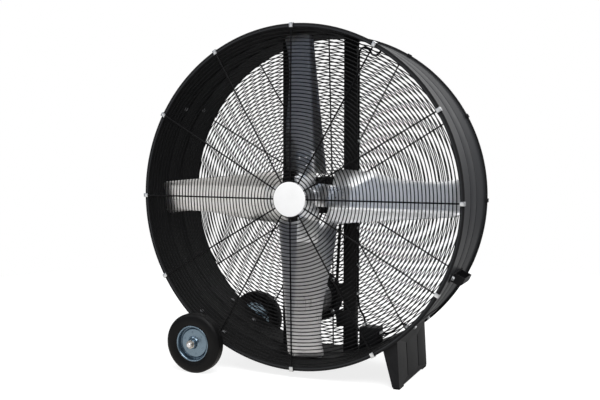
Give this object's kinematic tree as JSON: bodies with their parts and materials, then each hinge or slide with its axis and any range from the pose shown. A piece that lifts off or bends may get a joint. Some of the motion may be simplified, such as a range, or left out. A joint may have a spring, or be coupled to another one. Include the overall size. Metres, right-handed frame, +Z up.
{
  "type": "drum fan",
  "caption": "Belt-driven drum fan: a rolled sheet drum with wire guards, bent sheet blades on a spider, a motor below the axis, two wheels and a folded foot.",
  "frame": {"origin": "on the floor, below the middle of the overall width and depth, which is below the fan's axis", "axes": "+Z up, +Y to the rear along the fan's axis, +X to the right seen from the front, with the wheels on the left and the foot on the right; air leaves towards -Y"},
  "size_m": [1.1246, 0.544, 1.1483],
  "materials": {
    "drum_paint": "satin powder coat, black",
    "guard_wire": "semi-gloss powder coat, black",
    "clip_paint": "satin black",
    "zinc": "bright zinc plate",
    "badge": "plain white, glossy",
    "frame_paint": "satin powder coat, black",
    "bearing_iron": "painted casting",
    "motor_paint": "semi-gloss black",
    "motor_bell": "cast, machined rim",
    "belt_rubber": "matt",
    "box_plastic": "moulded, black",
    "lead_rubber": "smooth",
    "steel": "bright drawn",
    "pad_rubber": "matt",
    "spider_steel": "zinc plate",
    "blade_steel": "mill finish sheet",
    "black_bolt": "black oxide",
    "pulley_iron": "painted, bright groove",
    "tyre": "matt rubber",
    "rim_paint": "steel blue, glossy"
  },
  "bodies": {
    "root": {"axle": "steel", "axle_bracket_front": "frame_paint", "axle_bracket_rear": "frame_paint", "axle_nuts": "zinc", "axle_washers": "zinc", "badge": "badge", "bearing_front": "bearing_iron", "bearing_plate_front": "frame_paint", "bearing_plate_rear": "frame_paint", "bearing_rear": "bearing_iron", "belt": "belt_rubber", "box_leads": "lead_rubber", "box_lid": "box_plastic", "drum_bolts": "zinc", "drum_shell": "drum_paint", "foot": "drum_paint", "foot_pads": "pad_rubber", "front_guard": "guard_wire", "front_guard_clips": "zinc", "glands": "zinc", "handle_left": "drum_paint", "handle_right": "drum_paint", "junction_box": "box_plastic", "lead_clips": "zinc", "motor_body": "motor_paint", "motor_bolts": "zinc", "motor_front_bell": "motor_bell", "motor_plate": "frame_paint", "motor_rear_bell": "motor_bell", "rail_left": "frame_paint", "rail_right": "frame_paint", "rear_guard": "guard_wire", "rear_guard_clips": "clip_paint"},
    "rotor": {"spider": "spider_steel", "blade_1": "blade_steel", "blade_2": "blade_steel", "blade_3": "blade_steel", "blade_4": "blade_steel", "blade_rivets": "spider_steel", "fan_shaft": "steel", "shaft_bolt": "black_bolt", "fan_pulley": "pulley_iron"},
    "motor_rotor": {"motor_shaft": "steel", "motor_pulley": "pulley_iron"},
    "front_wheel": {"front_tyre": "tyre", "front_rim": "rim_paint"},
    "rear_wheel": {"rear_tyre": "tyre", "rear_rim": "rim_paint"}
  },
  "joints": [
    {"name": "rotor_spin", "type": "hinge", "parent": "root", "child": "rotor", "pos_m": [0, 0, 0.586], "axis": [0, 1, 0], "continuous": true},
    {"name": "motor_spin", "type": "hinge", "parent": "root", "child": "motor_rotor", "pos_m": [0, 0.12, 0.239], "axis": [0, 1, 0], "continuous": true},
    {"name": "front_wheel_spin", "type": "hinge", "parent": "root", "child": "front_wheel", "pos_m": [-0.328, -0.23, 0.1], "axis": [0, 1, 0], "continuous": true},
    {"name": "rear_wheel_spin", "type": "hinge", "parent": "root", "child": "rear_wheel", "pos_m": [-0.328, 0.23, 0.1], "axis": [0, 1, 0], "continuous": true}
  ],
  "couplings": [
    {"joint": "motor_spin", "follows": "rotor_spin", "ratio": 1.4762}
  ]
}
